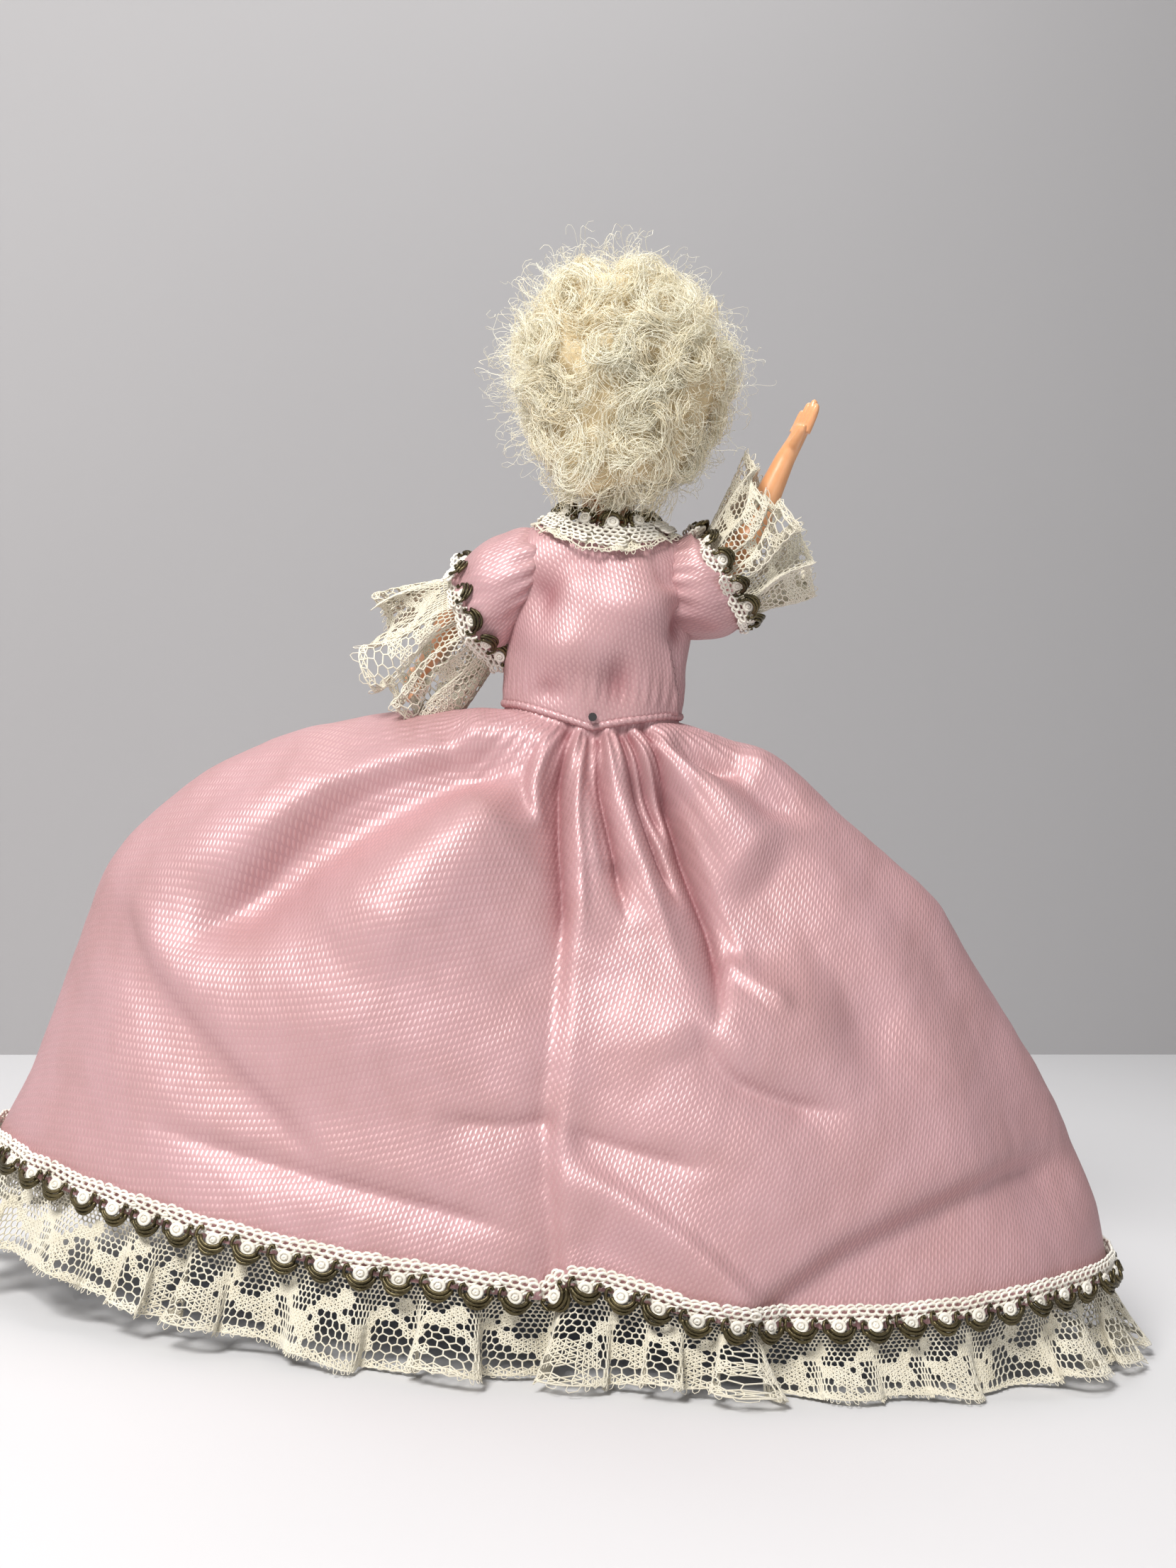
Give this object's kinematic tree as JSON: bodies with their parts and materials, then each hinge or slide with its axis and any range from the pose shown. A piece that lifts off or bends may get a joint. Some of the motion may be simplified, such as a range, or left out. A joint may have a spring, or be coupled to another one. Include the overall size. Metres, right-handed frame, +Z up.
{
  "type": "topsy turvy doll",
  "caption": "Small plastic topsy turvy doll in a pink satin gown, with a second doll upside down under the gathered skirt.",
  "frame": {"origin": "on the surface the hem stands on, under the middle of the waist", "axes": "+Z up through the upper doll's head, +Y towards the dolls' faces, +X towards the upper doll's right hand"},
  "size_m": [0.2198, 0.1042, 0.1987],
  "materials": {
    "satin": "pink satin",
    "lace": "ivory net lace",
    "braid": "crochet braid with dark metallic loops",
    "cotton": "plain woven cotton",
    "blond_hair": "curled mohair",
    "brown_hair": "curled mohair",
    "skin": "moulded hard plastic",
    "elastic": "stringing elastic",
    "steel": "wire"
  },
  "bodies": {
    "torsos": {"upper_torso_front": "skin", "upper_torso_back": "skin", "lower_torso_front": "skin", "lower_torso_back": "skin", "waist_plug": "skin", "head_elastic": "elastic", "upper_arm_elastic": "elastic", "lower_arm_elastic": "elastic", "bodice": "satin", "waist_welt": "satin", "waist_pin": "steel", "skirt": "satin", "lining_skirt": "cotton", "hem_braid": "braid", "hem_lace": "lace", "upper_neck_lace": "lace", "upper_neck_braid": "braid", "lower_bodice": "cotton", "lower_neck_lace": "lace"},
    "upper_head": {"upper_head": "skin", "upper_head_hook": "steel", "upper_wig": "blond_hair"},
    "lower_head": {"lower_head": "skin", "lower_head_hook": "steel", "lower_wig": "brown_hair"},
    "upper_right_arm": {"upper_right_arm": "skin", "right_sleeve": "satin", "right_cuff_braid": "braid", "right_cuff_lace": "lace"},
    "upper_left_arm": {"upper_left_arm": "skin", "left_sleeve": "satin", "left_cuff_braid": "braid", "left_cuff_lace": "lace"},
    "lower_right_arm": {"lower_right_arm": "skin", "lower_right_sleeve": "cotton"},
    "lower_left_arm": {"lower_left_arm": "skin", "lower_left_sleeve": "cotton"}
  },
  "joints": [
    {"name": "upper_neck", "type": "hinge", "parent": "torsos", "child": "upper_head", "pos_m": [0, 0, 0.155], "axis": [0, 0, 1], "range_deg": [-90, 90]},
    {"name": "lower_neck", "type": "hinge", "parent": "torsos", "child": "lower_head", "pos_m": [0, 0, 0.073], "axis": [0, 0, 1], "range_deg": [-90, 90]},
    {"name": "upper_right_shoulder", "type": "hinge", "parent": "torsos", "child": "upper_right_arm", "pos_m": [0.015, 0, 0.139], "axis": [1, 0, 0], "range_deg": [-145, 15]},
    {"name": "upper_left_shoulder", "type": "hinge", "parent": "torsos", "child": "upper_left_arm", "pos_m": [-0.015, 0, 0.139], "axis": [1, 0, 0], "range_deg": [-10, 135]},
    {"name": "lower_right_shoulder", "type": "hinge", "parent": "torsos", "child": "lower_right_arm", "pos_m": [-0.015, 0, 0.089], "axis": [1, 0, 0], "range_deg": [-45, 45]},
    {"name": "lower_left_shoulder", "type": "hinge", "parent": "torsos", "child": "lower_left_arm", "pos_m": [0.015, 0, 0.089], "axis": [1, 0, 0], "range_deg": [-45, 45]}
  ]
}
